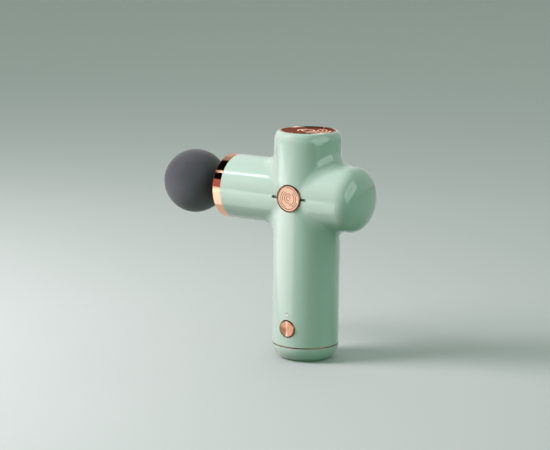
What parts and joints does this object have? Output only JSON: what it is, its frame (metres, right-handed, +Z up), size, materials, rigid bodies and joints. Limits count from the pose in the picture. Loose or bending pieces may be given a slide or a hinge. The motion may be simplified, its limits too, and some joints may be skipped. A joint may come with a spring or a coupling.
{
  "type": "massage gun",
  "caption": "Pocket percussion massage gun: an upright round handle crossed by a level barrel that drives a plug-in ball head in and out.",
  "frame": {"origin": "centre of the flat foot under the handle, on the handle's axis", "axes": "+Z up along the handle, -X along the barrel towards the ball head, -Y out of the face with the badge and the button"},
  "size_m": [0.1591, 0.0445, 0.1507],
  "materials": {
    "mint_shell": "gloss",
    "rose_metal": "polished",
    "rose_satin": "satin",
    "copper_panel": "gloss",
    "foam_charcoal": "matte",
    "black_plastic": "matte",
    "grey_plastic": "matte",
    "clear_plastic": "gloss",
    "rubber_black": "matte",
    "steel": "satin",
    "cast_aluminium": "satin",
    "bronze": "satin",
    "copper_wire": "satin",
    "board_green": "satin",
    "chip_black": "satin",
    "lamp_white": "gloss",
    "cell_blue": "satin",
    "nickel": "satin",
    "wire_red": "satin",
    "wire_grey": "satin"
  },
  "bodies": {
    "body": {"front_shell": "mint_shell", "rear_shell": "mint_shell", "base_cap": "mint_shell", "base_trim_ring": "rose_metal", "base_screws": "steel", "barrel_collar": "rose_metal", "barrel_front_plate": "black_plastic", "dust_seal": "rubber_black", "front_badge": "rose_satin", "top_panel": "copper_panel", "display_board": "board_green", "display_board_screws": "steel", "indicator_leds": "lamp_white", "button_board": "board_green", "button_board_screws": "steel", "tact_switch": "chip_black", "led_light_pipe": "clear_plastic", "status_led": "lamp_white", "chassis": "cast_aluminium", "motor_mount": "cast_aluminium", "motor_screws": "steel", "lower_motor_bearing": "steel", "upper_motor_bearing": "steel", "stator_core": "steel", "stator_windings": "copper_wire", "piston_sleeve": "bronze", "barrel_dampers": "rubber_black", "motor_plate_damper": "rubber_black", "battery_cells": "cell_blue", "battery_tray": "grey_plastic", "battery_contacts": "nickel", "charge_board": "board_green", "charge_board_parts": "chip_black", "driver_board": "board_green", "driver_board_screw": "steel", "driver_board_parts": "chip_black", "usb_c_port": "nickel", "usb_board": "board_green", "motor_leads": "wire_grey", "battery_leads": "wire_red", "button_cable": "wire_grey", "display_cable": "wire_grey", "charge_leads": "wire_red"},
    "rotor": {"rotor_can": "steel", "rotor_magnets": "nickel", "motor_shaft": "steel", "crank_disc": "steel"},
    "rod": {"connecting_rod": "cast_aluminium", "rod_bearing": "steel", "crank_pin_bolt": "steel"},
    "piston": {"piston": "cast_aluminium", "wrist_pin": "steel"},
    "head": {"ball_head": "foam_charcoal", "head_stem": "black_plastic", "stem_o_ring": "rubber_black"},
    "power_button": {"power_button": "rose_satin", "switch_plunger": "grey_plastic"}
  },
  "joints": [
    {"name": "motor_spin", "type": "hinge", "parent": "body", "child": "rotor", "pos_m": [0, 0, 0.1086], "axis": [0, 0, 1], "continuous": true},
    {"name": "piston_slide", "type": "slide", "parent": "body", "child": "piston", "axis": [-1, 0, 0], "range_m": [0, 0.008]},
    {"name": "rod_swing", "type": "hinge", "parent": "piston", "child": "rod", "pos_m": [-0.027, 0, 0.1086], "axis": [0, 0, 1], "range_deg": [-7.4, 7.4]},
    {"name": "head_pull_off", "type": "slide", "parent": "piston", "child": "head", "axis": [-1, 0, 0], "range_m": [0, 0.019]},
    {"name": "power_button_press", "type": "slide", "parent": "body", "child": "power_button", "axis": [0, 1, 0], "range_m": [0, 0.0005], "stiffness_N_per_m": 1500, "springref_m": -0.0004}
  ]
}
